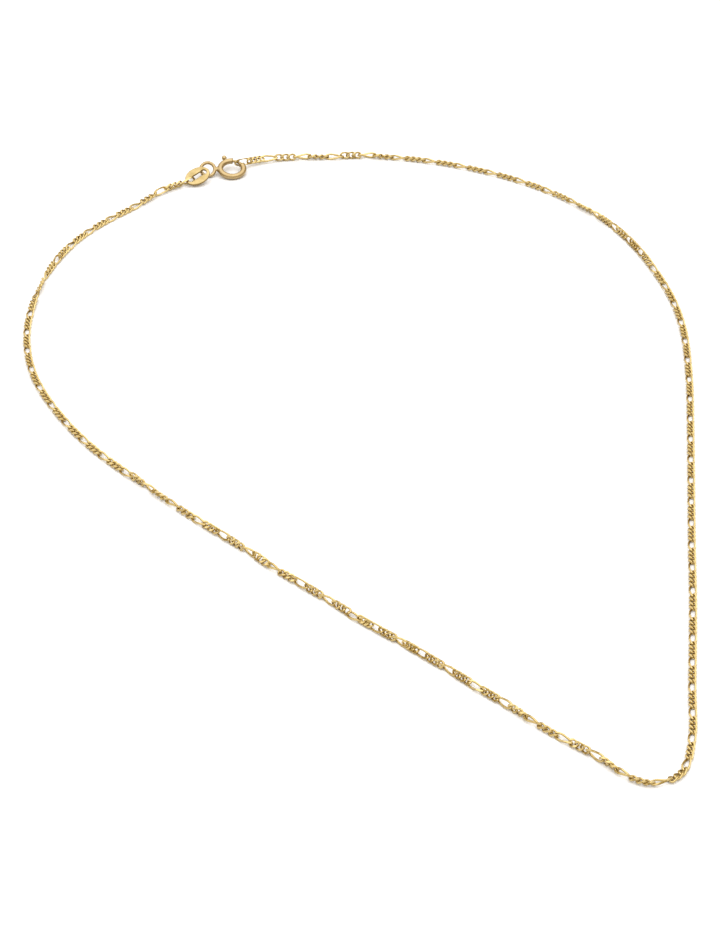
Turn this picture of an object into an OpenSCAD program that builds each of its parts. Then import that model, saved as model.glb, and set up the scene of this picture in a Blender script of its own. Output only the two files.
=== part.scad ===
// A figaro neck chain with a spring ring clasp and a pierced oval tag, lying as a closed loop.

/* [Chain links] */
// Diameter of the wire that the links are bent from
wire_d = 0.32; // [0.28:0.01:0.34]
// Outer width of a chain link
link_w = 1.35; // [1.3:0.05:1.6]
// Outer length of a short link
short_len = 1.75; // [1.7:0.05:2]
// Outer length of a long link
long_len = 3.25; // [2.9:0.05:3.8]
// Outer width of the wider links at the two ends of the chain
end_link_w = 1.5; // [1.45:0.05:1.7]
// Twist of a link from one end to the other, in degrees
link_twist = 90; // [84:2:96]
// Free play where one link hangs in the next
link_play = 0.08; // [0.06:0.01:0.12]

/* [Spring ring] */
// Outer diameter of the ring
ring_d = 5; // [4.6:0.1:6]
// Outer diameter of its tube
tube_d = 1; // [0.95:0.05:1.2]
// Wall of the tube
tube_wall = 0.21; // [0.15:0.01:0.21]
// Running clearance round the bolt in the tube
bolt_clear = 0.04; // [0.02:0.01:0.06]
// Angle from the right side at which the gap in the tube starts
gap_start = 34; // [32:1:38]
// Width of the gap, in degrees of the ring
gap_angle = 54; // [50:1:56]
// Lean of the ring towards the viewer as it lies
ring_lean = 12; // [8:1:14]
// Fall of the ring from the eye side to the other side
ring_fall = 3; // [2:0.5:4]

/* [Trigger] */
// Diameter of the thumb knob
knob_d = 0.9; // [0.7:0.05:1]
// Distance of the knob's centre from the ring's centre line
knob_reach = 1.05; // [1:0.05:1.3]
// Angle of the knob when the clasp is shut
knob_angle = 118; // [116:1:120]
// Travel of the trigger, in degrees
trigger_travel = 42; // [36:1:42]
// Diameter of the stem under the knob
stem_d = 0.4; // [0.3:0.05:0.45]

/* [Eye] */
// Outer diameter of the eye soldered to the ring
eye_d = 3; // [2.8:0.05:3.1]
// Diameter of the eye's wire
eye_wire = 0.6; // [0.45:0.05:0.6]
// Angle on the ring at which the eye is soldered
eye_angle = 186; // [184:1:190]
// Angle of the eye to the plane of the ring
eye_rise = 29; // [26:1:32]
// Length of the solder neck between the ring and the eye
neck_len = 0.16; // [0.15:0.01:0.3]
// Diameter of the solder neck
neck_d = 0.6; // [0.4:0.05:0.65]

/* [Tag] */
// Length of the oval tag
tag_len = 4.6; // [4.4:0.1:5]
// Width of the oval tag
tag_w = 3.4; // [3.2:0.1:3.8]
// Thickness of the tag
tag_t = 0.45; // [0.35:0.05:0.5]
// Length of the slot in the tag
slot_len = 3.6; // [3.5:0.05:3.8]
// Width of the round ends of the slot
slot_w = 1.05; // [1:0.05:1.2]
// Width of the slot's waist
waist_w = 0.8; // [0.7:0.05:1]
// Lean of the tag towards the viewer
tag_lean = 22; // [20:1:24]
// Turn of the tag's long axis in its own plane
tag_turn = 38; // [36:1:40]
// Height of the tag's middle above the surface
tag_rise = 1.2; // [1.15:0.05:1.3]

/* [Hidden] */

// Colours of the polished gold alloy, and of the brighter tag
gold = [0.83, 0.68, 0.38];
bright_gold = [0.96, 0.84, 0.52];

// Route of the chain's centre line, seen from above, from the tag round to the clasp
route = [
    [-36.5, 69], [-43, 62], [-47, 56], [-50.5, 46.5], [-52.5, 35], [-52.5, 25.5], [-50.5, 15],
    [-46, 4.5], [-40.5, -4.5], [-33.5, -13], [-23, -24.5], [-10.5, -37.5], [2, -50], [9, -56.5],
    [16.5, -64], [26, -73.5], [33, -80], [37.5, -84.5], [40.5, -85.5], [44, -83.5], [46, -76.5],
    [47, -64], [48.5, -45.5], [49.5, -30], [50.5, -15.5], [51.5, -1], [52.5, 16], [52.5, 30],
    [51, 40.5], [47.5, 52], [43.5, 60.5], [38.5, 67.5], [32.5, 73.5], [25, 78.5], [14.5, 83],
    [5, 85], [-4, 85], [-10.5, 84.5]
];
// Middle of the tag and middle of the spring ring, on the same plan
tag_xy = [-27.1, 76.8];
ring_xy = [-21.3, 79.8];
// Headings in which the two ends of the chain leave the tag and the clasp
tag_row_heading = 212;
clasp_row_heading = 28;
// Angle on the ring at which the last link hangs on the bolt
hook_angle = 55.5;
// Rolls of the middle of the two end links about their length
tag_link_roll = 66;
clasp_link_roll = 62;
// Change of roll from each link of an end row to the next
roll_step = 5;
// Sense of the twist, right-handed for 1
twist_sense = -1;
// Clearance between pieces that hold each other without touching
hold_clear = 0.1;
// Slack of the tag's link along the slot, and its bend's offsets across and below the tag's middle
tag_hook_slack = 0.68;
tag_hook_side = -0.08;
tag_hook_drop = 0.22;
// Slack of the clasp's link inside the bolt, and its bend's height over the bolt
clasp_hook_slack = 0.1;
clasp_hook_lift = 0.06;
// Squareness of a link's oval, as the power of its sine and cosine
oval_power = 0.83;
short_count = 3;

// Facets of a round link and of its wire, and of the whole chain's tube
link_sides = 16;
wire_sides = 6;
tube_sides = 8;
rings_per_step = 2;
smooth = 64;

// Places that follow from the sizes above
chain_z = link_w / 2;
ring_mid_r = (ring_d - tube_d) / 2;
bolt_d = tube_d - 2 * tube_wall - 2 * bolt_clear;
gap_end = gap_start + gap_angle;
tip_engage = 4;
bolt_start = gap_start - tip_engage;
bolt_tail = 12;
slot_margin = 2;
ring_z = tube_d / 2 + ring_mid_r * sin(ring_lean) + 0.02;
eye_reach = ring_d / 2 + neck_len + eye_d / 2;
short_pitch = short_len - 2 * wire_d - link_play;
mixed_pitch = (long_len + short_len) / 2 - 2 * wire_d - link_play;
row_len = (long_len - wire_d) / 2 + mixed_pitch + (short_count - 1) * short_pitch + short_len / 2;

// Small vector helpers
function unit(v) = v / norm(v);
function signed_pow(v, e) = sign(v) * pow(abs(v), e);
function turn_x(v, a) = [v[0], v[1] * cos(a) - v[2] * sin(a), v[1] * sin(a) + v[2] * cos(a)];
function turn_y(v, a) = [v[0] * cos(a) + v[2] * sin(a), v[1], -v[0] * sin(a) + v[2] * cos(a)];
function turn_z(v, a) = [v[0] * cos(a) - v[1] * sin(a), v[0] * sin(a) + v[1] * cos(a), v[2]];

// A point of the tag and a point of the ring's plane, on the plan
function tag_point(v) = [tag_xy[0], tag_xy[1], tag_rise] + turn_x(turn_z(v, tag_turn), tag_lean);
function ring_point(r, a) =
    [ring_xy[0], ring_xy[1], ring_z]
    + turn_y(turn_x([r * cos(a), r * sin(a), 0], ring_lean), ring_fall);

// Where the outermost bend of each end link lies, and the far end of its row of four links
tag_hook = tag_point([
    -slot_len / 2 + hold_clear + wire_d / 2 + tag_hook_slack, tag_hook_side, -tag_hook_drop
]);
tag_row_end = [
    tag_hook[0] + row_len * cos(tag_row_heading), tag_hook[1] + row_len * sin(tag_row_heading), chain_z
];
clasp_dir = [cos(clasp_row_heading), sin(clasp_row_heading), 0];
clasp_hook = ring_point(ring_mid_r, hook_angle)
    - clasp_dir * (bolt_d / 2 + hold_clear + wire_d / 2 + clasp_hook_slack) + [0, 0, clasp_hook_lift];
clasp_row_end = [
    clasp_hook[0] + row_len * cos(clasp_row_heading), clasp_hook[1] + row_len * sin(clasp_row_heading), chain_z
];

// The tube's centre line: a smooth curve through the row ends and the route
tag_row_dir = unit(tag_row_end - tag_hook);
clasp_row_dir = unit(clasp_row_end - clasp_hook);
tube_start = tag_row_end + hold_clear * tag_row_dir;
tube_end = clasp_row_end + hold_clear * clasp_row_dir;
stations = concat(
    [[tube_start[0], tube_start[1]]], route, [[tube_end[0], tube_end[1]]]
);
function station(i) =
    i < 0 ? 2 * stations[0] - stations[1]
    : i >= len(stations) ? 2 * stations[len(stations) - 1] - stations[len(stations) - 2]
    : stations[i];
function curve_point(i, t) = let (
        p0 = station(i - 1),
        p1 = station(i),
        p2 = station(i + 1),
        p3 = station(i + 2),
        a = sqrt(norm(p1 - p0)),
        b = sqrt(norm(p2 - p1)),
        c = sqrt(norm(p3 - p2)),
        m1 = (p2 - p1) + b * ((p1 - p0) / a - (p2 - p0) / (a + b)),
        m2 = (p2 - p1) + b * ((p3 - p2) / c - (p3 - p1) / (b + c)),
        s = t * t,
        u = s * t
    )
    (2 * u - 3 * s + 1) * p1 + (u - 2 * s + t) * m1 + (3 * s - 2 * u) * p2 + (u - s) * m2;
centre_line = concat(
    [for (i = [0:len(stations) - 2]) for (k = [0:rings_per_step - 1]) curve_point(i, k / rings_per_step)],
    [stations[len(stations) - 1]]
);

// The plan is moved so that the loop's box is centred on the origin
xs = [for (p = centre_line) p[0]];
ys = [for (p = centre_line) p[1]];
plan_mid = [(min(xs) + max(xs)) / 2, (min(ys) + max(ys)) / 2, 0];

// Faces of a tube of rings, closed into a loop or with a flat cap at each end
function wall_faces(rings, sides, closed) = [
    for (i = [0:rings - (closed ? 1 : 2)])
        for (j = [0:sides - 1])
            let (
                n = (i + 1) % rings,
                k = (j + 1) % sides,
                a = i * sides + j,
                b = n * sides + j,
                c = n * sides + k,
                d = i * sides + k
            )
                each [[a, b, c], [a, c, d]]
];
function cap_faces(rings, sides) = [
    [for (j = [0:sides - 1]) j],
    [for (j = [sides - 1:-1:0]) (rings - 1) * sides + j]
];

// One twisted oval link, centred on the origin with its length along x
function link_axis(length, width, t) = let (
        half = (length - wire_d) / 2,
        x = half * signed_pow(cos(t), oval_power),
        y = (width - wire_d) / 2 * signed_pow(sin(t), oval_power),
        a = twist_sense * link_twist / 2 * x / half
    )
    [x, y * cos(a), y * sin(a)];
function link_ring(length, width, t) = let (
        step = 2,
        p = link_axis(length, width, t),
        along = unit(link_axis(length, width, t + step) - link_axis(length, width, t - step)),
        a = twist_sense * link_twist / 2 * p[0] / ((length - wire_d) / 2),
        side = unit(cross(along, [0, -sin(a), cos(a)])),
        up = cross(side, along)
    )
    [
        for (j = [0:wire_sides - 1])
            p + wire_d / 2 * (cos(360 * j / wire_sides) * side + sin(360 * j / wire_sides) * up)
    ];
module twisted_link(length, width) {
    points = [
        for (i = [0:link_sides - 1])
            for (p = link_ring(length, width, 360 * (i + 0.5) / link_sides)) p
    ];
    polyhedron(points, wall_faces(link_sides, wire_sides, true));
}

// A link of a row that starts at a hook and runs along a direction, turned about its own length
module place_link(start, dir, along, roll) {
    heading = atan2(dir[1], dir[0]);
    rise = asin(dir[2]);
    translate(start + along * dir - plan_mid)
        rotate([0, -rise, heading])
            rotate([roll, 0, 0])
                children();
}
module row_long_link(start, dir, roll) {
    color(gold)
        place_link(start, dir, (long_len - wire_d) / 2, roll)
            twisted_link(long_len, end_link_w);
}
module row_short_link(start, dir, first_roll, index) {
    color(gold)
        place_link(
            start, dir,
            (long_len - wire_d) / 2 + mixed_pitch + (index - 1) * short_pitch,
            first_roll - index * roll_step
        )
            twisted_link(short_len, link_w);
}

// The rest of the chain, as one tube of the chain's own width
module chain() {
    count = len(centre_line);
    corner_r = link_w / 2 / cos(180 / tube_sides);
    points = [
        for (i = [0:count - 1])
            let (
                before = centre_line[max(i - 1, 0)],
                after = centre_line[min(i + 1, count - 1)],
                dir = unit(after - before)
            )
            for (j = [0:tube_sides - 1])
                let (a = 360 * (j + 0.5) / tube_sides)
                    [
                        centre_line[i][0] - dir[1] * corner_r * cos(a),
                        centre_line[i][1] + dir[0] * corner_r * cos(a),
                        chain_z + corner_r * sin(a)
                    ]
    ];
    color(gold)
        translate(-plan_mid)
            polyhedron(points, concat(wall_faces(count, tube_sides, false), cap_faces(count, tube_sides)));
}

// The tag: an oval plate with a slot that is wider at its round ends than at its waist
module tag() {
    color(bright_gold)
        translate([tag_xy[0], tag_xy[1], tag_rise] - plan_mid)
            rotate([tag_lean, 0, 0])
                rotate([0, 0, tag_turn])
                    difference() {
                        linear_extrude(tag_t, center = true)
                            polygon([
                                for (i = [0:59]) [tag_len / 2 * cos(6 * i), tag_w / 2 * sin(6 * i)]
                            ]);
                        for (side = [-1, 1])
                            translate([side * (slot_len - slot_w) / 2, 0, -tag_t])
                                cylinder(d = slot_w, h = 2 * tag_t, $fn = smooth);
                        translate([-(slot_len - slot_w) / 2, -waist_w / 2, -tag_t])
                            cube([slot_len - slot_w, waist_w, 2 * tag_t]);
                    }
}

// Puts what is drawn in the ring's own plane where the ring lies
module place_ring() {
    translate([ring_xy[0], ring_xy[1], ring_z] - plan_mid)
        rotate([0, ring_fall, 0])
            rotate([ring_lean, 0, 0])
                children();
}
module ring_arc(d, from, to) {
    rotate([0, 0, from])
        rotate_extrude(angle = to - from, $fn = smooth)
            translate([ring_mid_r, 0])
                circle(d = d, $fn = smooth / 2);
}

// The hollow tube of the clasp with its thumb slot, and the eye soldered to its outside
module spring_ring() {
    neck_start = ring_d / 2 - tube_wall / 2;
    slot_w_ring = stem_d + 2 * bolt_clear;
    color(gold)
        place_ring()
            union() {
                difference() {
                    ring_arc(tube_d, gap_end, gap_start + 360);
                    ring_arc(tube_d - 2 * tube_wall, gap_end - 1, gap_start + 361);
                    rotate([0, 0, knob_angle - slot_margin - asin(stem_d / ring_d)])
                        rotate_extrude(
                            angle = trigger_travel + 2 * slot_margin + 2 * asin(stem_d / ring_d),
                            $fn = smooth
                        )
                            translate([ring_mid_r, -slot_w_ring / 2])
                                square([tube_d, slot_w_ring]);
                }
                rotate([0, 0, eye_angle]) {
                    translate([neck_start, 0, 0])
                        rotate([0, 90, 0])
                            cylinder(d = neck_d, h = neck_len + tube_wall / 2 + eye_wire / 2, $fn = smooth / 2);
                    translate([eye_reach, 0, 0])
                        rotate([-eye_rise, 0, 0])
                            rotate_extrude($fn = smooth)
                                translate([(eye_d - eye_wire) / 2, 0])
                                    circle(d = eye_wire, $fn = smooth / 2);
                }
            }
}

// The curved bolt that closes the gap, with the knob that draws it back
module trigger() {
    color(gold)
        place_ring()
            union() {
                ring_arc(bolt_d, bolt_start, knob_angle + bolt_tail);
                rotate([0, 0, knob_angle])
                    translate([ring_mid_r, 0, 0])
                        rotate([0, 90, 0])
                            cylinder(d = stem_d, h = knob_reach, $fn = smooth / 2);
                rotate([0, 0, knob_angle])
                    translate([ring_mid_r + knob_reach, 0, 0])
                        sphere(d = knob_d, $fn = smooth / 2);
            }
}

chain();
row_long_link(tag_hook, tag_row_dir, tag_link_roll);  // tag_long_link
row_long_link(clasp_hook, clasp_row_dir, clasp_link_roll);  // clasp_long_link
for (i = [1:short_count]) {
    row_short_link(tag_hook, tag_row_dir, tag_link_roll, i);
    row_short_link(clasp_hook, clasp_row_dir, clasp_link_roll, i);
}
tag();
spring_ring();
trigger();
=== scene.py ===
import math
import random

import bmesh
import bpy
import numpy as np
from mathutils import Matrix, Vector


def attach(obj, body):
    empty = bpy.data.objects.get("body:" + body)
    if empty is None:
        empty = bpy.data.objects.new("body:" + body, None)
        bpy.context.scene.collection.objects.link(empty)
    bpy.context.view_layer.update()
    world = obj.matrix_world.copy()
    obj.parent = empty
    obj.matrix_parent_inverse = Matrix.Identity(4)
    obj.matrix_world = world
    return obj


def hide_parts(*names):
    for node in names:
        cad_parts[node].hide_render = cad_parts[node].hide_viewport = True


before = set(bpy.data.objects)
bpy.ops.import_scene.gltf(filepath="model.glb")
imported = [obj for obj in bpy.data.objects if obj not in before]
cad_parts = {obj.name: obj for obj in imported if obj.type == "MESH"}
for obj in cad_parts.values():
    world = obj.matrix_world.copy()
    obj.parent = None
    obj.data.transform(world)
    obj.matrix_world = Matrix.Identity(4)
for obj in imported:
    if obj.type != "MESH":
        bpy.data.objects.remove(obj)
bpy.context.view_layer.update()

# All sizes are in millimetres, and become metres where a mesh is made
MM = 0.001

# Wire and links: the wire is bent into an oval, the oval is twisted, and then its faces are filed
WIRE_D = 0.34
LINK_W = 1.32
END_LINK_W = 1.5
SHORT_LEN = 1.78
LONG_LEN = 3.36
LINK_PLAY = 0.09
LINK_TWIST = 90.0
TWIST_SENSE = -1
OVAL_POWER = 0.8
FACE_CUT = 0.30
EDGE_CUT = 0.58
SHORTS_PER_UNIT = 3
UNITS = 78
LONG_AROUND = 48
SHORT_AROUND = 32
WIRE_SIDES = 12
# Half the step, in degrees, over which the wire's direction is taken
WIRE_STEP = 2.0

# Angles between faces, in degrees, past which an edge stays sharp: on links, the tag, and the rest
LINK_SHARP = 30.0
TAG_SHARP = 60.0
PLAIN_SHARP = 50.0

# Hooks of the two end links, in the tag's slot and on the clasp's bolt, as in the part; the
# second one is 0.2 mm further in, because the thicker wire needs it to stay clear of the bolt
TAG_HOOK = (-27.702, 76.504, 0.774)
CLASP_HOOK = (-20.757, 81.134, 1.295)
TAG_ROW_HEADING = 212.0
CLASP_ROW_HEADING = 28.0
ROW_LEN = 6.18
ROW_GAP = 0.1
CHAIN_Z = 0.675

# Tag, spring ring and eye, as in the part
TAG_XY = (-27.1, 76.8)
TAG_LEAN = 22.0
TAG_TURN = 38.0
TAG_RISE = 1.2
TAG_LEN = 4.6
TAG_W = 3.4
TAG_T = 0.45
SLOT_LEN = 3.6
SLOT_W = 1.05
WAIST_W = 0.8
TAG_AROUND = 120
TAG_SECTION = 28
TAG_EDGE_POWER = 0.45
TAG_CROWN_POWER = 0.5
# Share that picks the faces at the tag's outer rim and its slot's wall, which get darker gold as
# painted shade
TAG_SHADED_RIM_SHARE = 0.7
RING_XY = (-21.3, 79.8)
RING_D = 5.0
TUBE_D = 1.0
RING_MID_R = (RING_D - TUBE_D) / 2
RING_LEAN = 12.0
RING_FALL = 3.0
RING_CLEAR = 0.02
RING_Z = TUBE_D / 2 + RING_MID_R * math.sin(math.radians(RING_LEAN)) + RING_CLEAR
GAP_START = 34.0
GAP_END = 88.0
EYE_ANGLE = 186.0
COLLAR_SPAN = 5.0
COLLAR_BEVEL = 0.8
COLLAR_PROUD = 0.03
COLLAR_AROUND = 48
# Solder on the eye's neck
# (distance from the ring's middle, half width, half height, tilt in degrees)
SOLDER = [
    (2.34, 0.66, 0.44, 0), (2.42, 0.62, 0.43, 0), (2.50, 0.53, 0.39, 3), (2.58, 0.46, 0.35, 8),
    (2.66, 0.43, 0.32, 14), (2.74, 0.45, 0.31, 20), (2.82, 0.50, 0.29, 26), (2.92, 0.58, 0.24, 29),
    (3.02, 0.56, 0.16, 29),
]
SOLDER_SIDES = 32

# Route of the chain's centre line, seen from above, from the tag round to the clasp
ROUTE = [
    (-36.5, 69), (-43, 62), (-47, 56), (-50.5, 46.5), (-52.5, 35), (-52.5, 25.5), (-50.5, 15),
    (-46, 4.5), (-40.5, -4.5), (-33.5, -13), (-23, -24.5), (-10.5, -37.5), (2, -50), (9, -56.5),
    (16.5, -64), (26, -73.5), (33, -80), (37.5, -84.5), (40.5, -85.5), (44, -83.5), (46, -76.5),
    (47, -64), (48.5, -45.5), (49.5, -30), (50.5, -15.5), (51.5, -1), (52.5, 16), (52.5, 30),
    (51, 40.5), (47.5, 52), (43.5, 60.5), (38.5, 67.5), (32.5, 73.5), (25, 78.5), (14.5, 83),
    (5, 85), (-4, 85), (-10.5, 84.5),
]
RINGS_PER_STEP = 2
FINE_STEPS = 24

# Distance along the chain of some long links' middles, because it is gathered in places
# (number of the long link, distance in millimetres)
GATHERS = [
    (1, 6.7), (2, 12.6), (11, 62.6), (18, 101.8), (19, 107.1), (20, 113.0), (21, 118.8),
    (22, 124.2), (26, 146.4), (27, 152.1), (28, 156.0), (29, 160.8), (30, 164.8), (33, 180.8),
    (34, 186.3), (36, 197.5), (37, 202.8), (47, 259.8), (54, 299.0), (63, 349.4), (64, 353.6),
    (65, 358.2), (66, 363.4), (67, 368.9), (76, 419.5), (77, 425.4),
]

# Roll of the chain about its length, where it turns over as it lies, in tens of degrees as
# read off the photo: which end of a long link's window is open, and how wide the short ones are.
# The first and the last are those of the part's hook links (number of the long link, degrees)
ROLLS = [
    (0, 66), (0.8, 80), (1, 130), (1.3, 20), (2, 0), (4, 0), (5, -10), (6, -50), (7, -90), (8, -140),
    (9, -180), (18, -170), (18.2, -150), (18.4, -90), (19, -70), (19.3, -30), (20, -20), (21, 10),
    (22, 60), (23, 100), (23.3, 60), (24, -20), (25, 50), (26, 90), (26.7, 60), (27, 0), (27.3, 40),
    (28.5, 60), (29, 90), (29.5, 60), (30.5, 60), (31, 90), (31.3, 60), (31.7, 60), (32, 20),
    (32.3, 50), (33, 70), (33.5, 100), (34, 160), (35, 190), (36, 260), (37, 340), (38, 340),
    (39, 350), (40, 360), (61, 360), (62, 350), (62.7, 310), (64, 300), (65, 280), (66, 250),
    (67, 200), (68, 180), (70, 190), (73.3, 190), (74, 240), (74.3, 270), (74.7, 300), (75, 350),
    (76, 420), (77, 510), (78, 478),
]
ROLL_JITTER = 3.0
ROLL_SEED = 7

# Photo's camera: its focal length in pixels, elevation, distance, and the point it looks at
IMAGE_W = 720
IMAGE_H = 931
FOCAL_PX = 3641.5
CAM_ELEVATION = 34.37
CAM_DISTANCE = 551.8
CAM_TARGET = (0.73, -9.93, 0.65)


def unit(v):
    return v / np.linalg.norm(v)


def turn(points, axis, degrees):
    """Turn points about the x, y or z axis."""
    a = math.radians(degrees)
    c, s = math.cos(a), math.sin(a)
    matrix = {
        "x": [[1, 0, 0], [0, c, -s], [0, s, c]],
        "y": [[c, 0, s], [0, 1, 0], [-s, 0, c]],
        "z": [[c, -s, 0], [s, c, 0], [0, 0, 1]],
    }[axis]
    return np.asarray(points, float) @ np.array(matrix).T


def heading(degrees):
    return np.array([math.cos(math.radians(degrees)), math.sin(math.radians(degrees)), 0.0])


def smooth_curve(points, steps):
    """A smooth curve through unevenly spaced points, the same as in the part's source."""
    stations = [2 * points[0] - points[1], *points, 2 * points[-1] - points[-2]]
    out = []
    for p0, p1, p2, p3 in zip(stations, stations[1:], stations[2:], stations[3:]):
        a, b, c = (math.sqrt(np.linalg.norm(q - p)) for p, q in ((p0, p1), (p1, p2), (p2, p3)))
        m1 = (p2 - p1) + b * ((p1 - p0) / a - (p2 - p0) / (a + b))
        m2 = (p2 - p1) + b * ((p3 - p2) / c - (p3 - p1) / (b + c))
        for k in range(steps):
            t = k / steps
            s, u = t * t, t ** 3
            near = (2 * u - 3 * s + 1) * p1 + (u - 2 * s + t) * m1
            out.append(near + (3 * s - 2 * u) * p2 + (u - s) * m2)
    out.append(points[-1])
    return np.array(out)


class CentreLine:
    """The chain's centre line from the tag's hook to the clasp's, measured by length along it."""

    def __init__(self):
        hooks = [np.array(TAG_HOOK), np.array(CLASP_HOOK)]
        starts = []
        for hook, away in zip(hooks, (heading(TAG_ROW_HEADING), heading(CLASP_ROW_HEADING))):
            row_end = hook + ROW_LEN * away
            row_end[2] = CHAIN_Z
            starts.append(row_end + ROW_GAP * unit(row_end - hook))
        flat = [starts[0][:2]] + [np.array(p, float) for p in ROUTE] + [starts[1][:2]]
        # The part is centred on the rings of its chain tube
        rings = smooth_curve(flat, RINGS_PER_STEP)
        self.middle = np.array([*(rings.min(0) + rings.max(0)) / 2, 0.0])
        fine = smooth_curve(flat, FINE_STEPS)
        fine = np.column_stack([fine, np.full(len(fine), CHAIN_Z)])
        self.points = np.vstack([hooks[0], fine, hooks[1]]) - self.middle
        steps = np.linalg.norm(np.diff(self.points, axis=0), axis=1)
        self.at = np.concatenate([[0.0], np.cumsum(steps)])
        self.length = self.at[-1]

    def point(self, distance):
        return np.array([np.interp(distance, self.at, self.points[:, k]) for k in range(3)])

    def frame(self, distance, reach):
        """Place and axes of a link: its chord's middle, its length, its side and its up."""
        a, b = self.point(distance - reach), self.point(distance + reach)
        along = unit(b - a)
        side = unit(np.cross([0.0, 0.0, 1.0], along))
        return (a + b) / 2, along, side, np.cross(along, side)


def oval_axis(length, width, t):
    """A point of the twisted oval that a link's wire follows, and the twist there."""
    half = (length - WIRE_D) / 2
    x = half * math.copysign(abs(math.cos(t)) ** OVAL_POWER, math.cos(t))
    y = (width - WIRE_D) / 2 * math.copysign(abs(math.sin(t)) ** OVAL_POWER, math.sin(t))
    a = math.radians(TWIST_SENSE * LINK_TWIST / 2 * x / half)
    return np.array([x, y * math.cos(a), y * math.sin(a)]), a


def wire_loop(length, width, around):
    """Points of one twisted oval of round wire, before it is filed."""
    points = np.empty((around, WIRE_SIDES, 3))
    step = math.radians(WIRE_STEP)
    for i in range(around):
        t = 2 * math.pi * (i + 0.5) / around
        p, a = oval_axis(length, width, t)
        along = unit(oval_axis(length, width, t + step)[0] - oval_axis(length, width, t - step)[0])
        side = unit(np.cross(along, [0, -math.sin(a), math.cos(a)]))
        up = np.cross(side, along)
        for j in range(WIRE_SIDES):
            b = 2 * math.pi * j / WIRE_SIDES
            points[i, j] = p + WIRE_D / 2 * (math.cos(b) * side + math.sin(b) * up)
    return points.reshape(-1, 3)


def loop_faces(around, sides):
    """Quads between the sections of a closed loop, which all have the same number of points."""
    i, j = np.meshgrid(np.arange(around), np.arange(sides), indexing="ij")
    n, k = (i + 1) % around, (j + 1) % sides
    quads = np.stack([i * sides + j, i * sides + k, n * sides + k, n * sides + j], axis=-1)
    return quads.reshape(-1, 4)


def filed_link(length, width, around):
    """One link: a twisted oval whose two broad faces and two edges are filed flat."""
    mesh = bmesh.new()
    verts = [mesh.verts.new(p) for p in wire_loop(length, width, around)]
    for face in loop_faces(around, WIRE_SIDES):
        mesh.faces.new([verts[i] for i in face])
    bmesh.ops.recalc_face_normals(mesh, faces=mesh.faces[:])
    for sign in (-1, 1):
        face_cut = ((0, 0, sign * FACE_CUT), (0, 0, sign))
        edge_cut = ((0, sign * EDGE_CUT, 0), (0, sign, 0))
        for place, normal in (face_cut, edge_cut):
            everything = mesh.verts[:] + mesh.edges[:] + mesh.faces[:]
            bmesh.ops.bisect_plane(
                mesh, geom=everything, dist=1e-5, plane_co=place, plane_no=normal, clear_outer=True)
            bmesh.ops.holes_fill(mesh, edges=[e for e in mesh.edges if e.is_boundary], sides=0)
    bmesh.ops.triangulate(mesh, faces=mesh.faces[:])
    mesh.verts.index_update()
    points = np.array([v.co[:] for v in mesh.verts])
    faces = np.array([[v.index for v in f.verts] for f in mesh.faces])
    mesh.free()
    return points, faces


def mesh_object(name, points, faces, material, sharp=PLAIN_SHARP):
    """A smoothly shaded piece of the scene, from points in millimetres."""
    mesh = bpy.data.meshes.new(name)
    mesh.from_pydata((np.asarray(points) * MM).tolist(), [], np.asarray(faces).tolist())
    mesh.polygons.foreach_set("use_smooth", [True] * len(mesh.polygons))
    mesh.set_sharp_from_angle(angle=math.radians(sharp))
    mesh.materials.append(material)
    mesh.update()
    obj = bpy.data.objects.new(name, mesh)
    bpy.context.scene.collection.objects.link(obj)
    return obj


def gold(name, colour, shade, roughness, grain, grain_scale):
    """Worn polished gold: a slow change of tone, fine rubbed lines in the gloss and a slight bump."""
    material = bpy.data.materials.new(name)
    material.use_nodes = True
    nodes, links = material.node_tree.nodes, material.node_tree.links
    shader = nodes["Principled BSDF"]
    shader.inputs["Metallic"].default_value = 1.0
    place = nodes.new("ShaderNodeTexCoord")
    tone = nodes.new("ShaderNodeTexNoise")
    tone.inputs["Scale"].default_value = 700.0
    tone.inputs["Detail"].default_value = 3.0
    ramp = nodes.new("ShaderNodeValToRGB")
    ramp.color_ramp.elements[0].position = 0.3
    ramp.color_ramp.elements[0].color = (*shade, 1)
    ramp.color_ramp.elements[1].position = 0.65
    ramp.color_ramp.elements[1].color = (*colour, 1)
    links.new(place.outputs["Object"], tone.inputs["Vector"])
    links.new(tone.outputs["Fac"], ramp.inputs["Fac"])
    links.new(ramp.outputs["Color"], shader.inputs["Base Color"])
    stretch = nodes.new("ShaderNodeMapping")
    stretch.inputs["Rotation"].default_value = (0.3, 0.2, 0.7)
    stretch.inputs["Scale"].default_value = (1.0, 4.0, 2.0)
    fine = nodes.new("ShaderNodeTexNoise")
    fine.inputs["Scale"].default_value = grain_scale
    fine.inputs["Detail"].default_value = 4.0
    links.new(place.outputs["Object"], stretch.inputs["Vector"])
    links.new(stretch.outputs["Vector"], fine.inputs["Vector"])
    spread = nodes.new("ShaderNodeMapRange")
    spread.inputs["From Min"].default_value = 0.3
    spread.inputs["From Max"].default_value = 0.7
    spread.inputs["To Min"].default_value = roughness * 0.7
    spread.inputs["To Max"].default_value = roughness * 1.3
    links.new(fine.outputs["Fac"], spread.inputs["Value"])
    links.new(spread.outputs["Result"], shader.inputs["Roughness"])
    bump = nodes.new("ShaderNodeBump")
    bump.inputs["Strength"].default_value = grain
    bump.inputs["Distance"].default_value = 0.00002
    links.new(fine.outputs["Fac"], bump.inputs["Height"])
    links.new(bump.outputs["Normal"], shader.inputs["Normal"])
    return material


def interpolate(table, value):
    """The second column of a table at a value between the rows of its first column."""
    return float(np.interp(value, [row[0] for row in table], [row[1] for row in table]))


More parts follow.
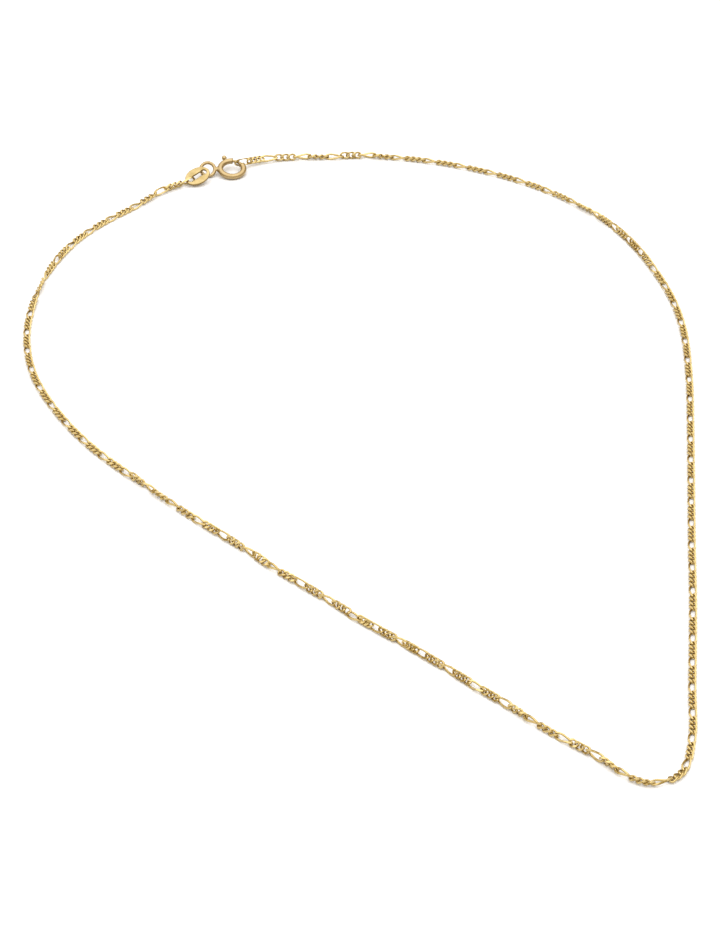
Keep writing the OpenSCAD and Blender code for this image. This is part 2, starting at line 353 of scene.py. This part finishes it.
def build_chain(line, material):
    """All the links in their order: the long ones as one mesh, the short ones as two."""
    shapes = {
        "end": filed_link(LONG_LEN, END_LINK_W, LONG_AROUND),
        "long": filed_link(LONG_LEN, LINK_W, LONG_AROUND),
        "short": filed_link(SHORT_LEN, LINK_W, SHORT_AROUND),
    }
    end_middle = (LONG_LEN - WIRE_D) / 2
    middles = [(0, end_middle), *GATHERS, (UNITS, line.length - end_middle)]
    short_pitch = SHORT_LEN - 2 * WIRE_D - LINK_PLAY
    mixed_pitch = (LONG_LEN + SHORT_LEN) / 2 - 2 * WIRE_D - LINK_PLAY
    unit_len = 2 * mixed_pitch + (SHORTS_PER_UNIT - 1) * short_pitch
    shares = [(mixed_pitch + k * short_pitch) / unit_len for k in range(SHORTS_PER_UNIT)]
    rng = random.Random(ROLL_SEED)
    names = ("long_links", "short_links_tag_half", "short_links_clasp_half")
    batches = {name: ([], []) for name in names}

    def add(batch, shape, number, length):
        middle, along, side, up = line.frame(interpolate(middles, number), (length - WIRE_D) / 2)
        roll = math.radians(interpolate(ROLLS, number) + rng.uniform(-ROLL_JITTER, ROLL_JITTER))
        c, s = math.cos(roll), math.sin(roll)
        x, y, z = shapes[shape][0].T
        across, upward = y * c - z * s, y * s + z * c
        points = middle + np.outer(x, along) + np.outer(across, side) + np.outer(upward, up)
        # The rows at the two hooks hang, and from the third long link on each link rests on the floor
        rest = min(max(min(number, UNITS - number) - 1, 0), 1)
        points[:, 2] -= rest * points[:, 2].min()
        held, faces = batches[batch]
        faces.append(shapes[shape][1] + sum(len(p) for p in held))
        held.append(points)

    for number in range(UNITS + 1):
        add("long_links", "end" if number in (0, UNITS) else "long", number, LONG_LEN)
        if number < UNITS:
            half = "tag" if number < UNITS / 2 else "clasp"
            for share in shares:
                add(f"short_links_{half}_half", "short", number + share, SHORT_LEN)
    return [
        mesh_object(name, np.vstack(held), np.vstack(faces), material, LINK_SHARP)
        for name, (held, faces) in batches.items()]


def slot_half_width(x):
    """Half width of the tag's slot: round at its two ends, straight at the waist between them."""
    reach = abs(x) - (SLOT_LEN - SLOT_W) / 2
    round_part = math.sqrt(max((SLOT_W / 2) ** 2 - reach ** 2, 0.0))
    return round_part if reach > 0 else max(round_part, WAIST_W / 2)


def build_tag(line, material, painted_shade_material):
    """The oval tag: a plate with rounded, slightly swollen cheeks round its slot."""
    points = []
    # Each section goes from the rim over the top to the slot and back below
    for i in range(TAG_AROUND):
        t = 2 * math.pi * (i + 0.5) / TAG_AROUND
        outer = np.array([TAG_LEN / 2 * math.cos(t), TAG_W / 2 * math.sin(t)])
        x = SLOT_LEN / 2 * math.cos(t)
        inner = np.array([x, math.copysign(slot_half_width(x), math.sin(t))])
        for j in range(TAG_SECTION):
            a = 2 * math.pi * (j + 0.5) / TAG_SECTION
            c, s = math.cos(a), math.sin(a)
            share = 0.5 - 0.5 * math.copysign(abs(c) ** TAG_EDGE_POWER, c)
            z = TAG_T / 2 * math.copysign(abs(s) ** TAG_CROWN_POWER, s)
            points.append([*(outer + (inner - outer) * share), z])
    leant = turn(turn(points, "z", TAG_TURN), "x", TAG_LEAN)
    placed = leant + np.array([*TAG_XY, TAG_RISE]) - line.middle
    outward = loop_faces(TAG_AROUND, TAG_SECTION)[:, ::-1]
    tag = mesh_object("tag_plate", placed, outward, material, TAG_SHARP)
    tag.data.materials.append(painted_shade_material)
    # The outer rim and the slot's wall get the darker gold: painted shade and a painted reflection of
    # the shaded floor under the tag
    angles = [2 * math.pi * (j + 1) / TAG_SECTION for j in range(TAG_SECTION)]
    painted_shade_rims = [int(abs(math.cos(a)) > TAG_SHADED_RIM_SHARE) for a in angles]
    tag.data.polygons.foreach_set("material_index", painted_shade_rims * TAG_AROUND)
    return tag


def ring_place(points, line):
    """From the spring ring's own plane to where the ring lies."""
    placed = turn(turn(points, "x", RING_LEAN), "y", RING_FALL)
    return placed + np.array([*RING_XY, RING_Z]) - line.middle


def build_collar(name, line, start, end, material):
    """A thin band round the tube, a little proud, where the bolt runs in or out of it; its darker
    gold is painted shadow at the tube's end.
    """
    bevel = math.copysign(COLLAR_BEVEL, end - start)
    inside, outside = TUBE_D / 2 - COLLAR_PROUD, TUBE_D / 2 + COLLAR_PROUD
    section = [
        (start, inside), (start, TUBE_D / 2), (start + bevel, outside),
        (end - bevel, outside), (end, TUBE_D / 2), (end, inside)]
    points = []
    for i in range(COLLAR_AROUND):
        b = 2 * math.pi * i / COLLAR_AROUND
        for degrees, radius in section:
            reach = RING_MID_R + radius * math.cos(b)
            points.append([*(reach * heading(degrees))[:2], radius * math.sin(b)])
    faces = loop_faces(COLLAR_AROUND, len(section))
    outward = faces if end > start else faces[:, ::-1]
    return mesh_object(name, ring_place(points, line), outward, material)


def build_solder(line, material):
    """The solder that flows from the tube over the neck to the eye."""
    rows = [[SOLDER[0][0], 0.0, 0.0, 0.0], *SOLDER, [SOLDER[-1][0], 0.0, 0.0, SOLDER[-1][3]]]
    points = []
    for reach, across, height, tilt in rows:
        for j in range(SOLDER_SIDES):
            b = 2 * math.pi * j / SOLDER_SIDES
            points.append(turn([reach, across * math.cos(b), height * math.sin(b)], "x", -tilt))
    faces = loop_faces(len(rows), SOLDER_SIDES)[: (len(rows) - 1) * SOLDER_SIDES]
    placed = ring_place(turn(points, "z", EYE_ANGLE), line)
    solder = mesh_object("eye_solder", placed, faces, material)
    mesh = bmesh.new()
    mesh.from_mesh(solder.data)
    bmesh.ops.remove_doubles(mesh, verts=mesh.verts[:], dist=1e-7)
    bmesh.ops.recalc_face_normals(mesh, faces=mesh.faces[:])
    mesh.to_mesh(solder.data)
    mesh.free()
    return solder


def set_camera():
    data = bpy.data.cameras.new("camera")
    data.sensor_width = 36.0
    data.lens = FOCAL_PX / max(IMAGE_W, IMAGE_H) * data.sensor_width
    data.clip_start = 0.01
    camera = bpy.data.objects.new("camera", data)
    bpy.context.scene.collection.objects.link(camera)
    target = Vector(CAM_TARGET) * MM
    elevation = math.radians(CAM_ELEVATION)
    back = Vector((0.0, -math.cos(elevation), math.sin(elevation)))
    camera.location = target + back * CAM_DISTANCE * MM
    camera.rotation_euler = back.to_track_quat("Z", "Y").to_euler()
    bpy.context.scene.camera = camera


def set_floor():
    material = bpy.data.materials.new("floor_white")
    material.use_nodes = True
    shader = material.node_tree.nodes["Principled BSDF"]
    shader.inputs["Base Color"].default_value = (0.78, 0.78, 0.80, 1)
    shader.inputs["Roughness"].default_value = 0.8
    half = 3000.0
    below = -0.01
    signs = ((-1, -1), (1, -1), (1, 1), (-1, 1))
    corners = [(x * half, y * half, below) for x, y in signs]
    mesh_object("floor", corners, [(0, 1, 2, 3)], material)


def set_lights():
    """A white tent: bright overhead, dimmer towards the table."""
    world = bpy.data.worlds.new("studio")
    world.use_nodes = True
    nodes, links = world.node_tree.nodes, world.node_tree.links
    place = nodes.new("ShaderNodeTexCoord")
    height = nodes.new("ShaderNodeSeparateXYZ")
    ramp = nodes.new("ShaderNodeValToRGB")
    ramp.color_ramp.elements[0].position = 0.3
    ramp.color_ramp.elements[0].color = (0.28, 0.225, 0.12, 1)
    ramp.color_ramp.elements[1].position = 0.8
    ramp.color_ramp.elements[1].color = (1, 1, 1, 1)
    links.new(place.outputs["Generated"], height.inputs["Vector"])
    links.new(height.outputs["Z"], ramp.inputs["Fac"])
    links.new(ramp.outputs["Color"], nodes["Background"].inputs["Color"])
    nodes["Background"].inputs["Strength"].default_value = 2.3
    bpy.context.scene.world = world
    bpy.context.scene.view_settings.view_transform = "Standard"


set_camera()
set_floor()
set_lights()
chain_gold = gold("chain_gold", (0.575, 0.45, 0.205), (0.50, 0.37, 0.155), 0.18, 0.08, 9000.0)
clasp_gold = gold("clasp_gold", (0.44, 0.33, 0.17), (0.37, 0.265, 0.13), 0.30, 0.12, 7000.0)
tag_gold = gold("tag_gold", (0.46, 0.35, 0.165), (0.33, 0.24, 0.10), 0.20, 0.14, 5000.0)
# Darker gold for the tag's outer rim, its slot's wall and the collars round the tube: painted shade
painted_shade_gold = gold("painted_shade_gold", (0.30, 0.21, 0.085), (0.24, 0.16, 0.06), 0.30, 0.10, 7000.0)
centre_line = CentreLine()
chain_pieces = build_chain(centre_line, chain_gold)
tag_plate = build_tag(centre_line, tag_gold, painted_shade_gold)
# Collars in darker gold: painted shadow at the two ends of the tube
collars = [
    build_collar("collar_in", centre_line, GAP_END, GAP_END + COLLAR_SPAN, painted_shade_gold),
    build_collar("collar_out", centre_line, GAP_START, GAP_START - COLLAR_SPAN, painted_shade_gold)]
solder = build_solder(centre_line, clasp_gold)
for piece in chain_pieces:
    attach(piece, "necklace")
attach(tag_plate, "necklace")
for piece in (*collars, solder):
    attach(piece, "necklace")
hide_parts("chain", "tag_long_link", "clasp_long_link")
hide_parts("tag_short_link_1", "tag_short_link_2", "tag_short_link_3")
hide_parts("clasp_short_link_1", "clasp_short_link_2", "clasp_short_link_3")
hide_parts("tag")
for node in ("spring_ring", "trigger"):
    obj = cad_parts[node]
    obj.data.materials.clear()
    obj.data.materials.append(clasp_gold)
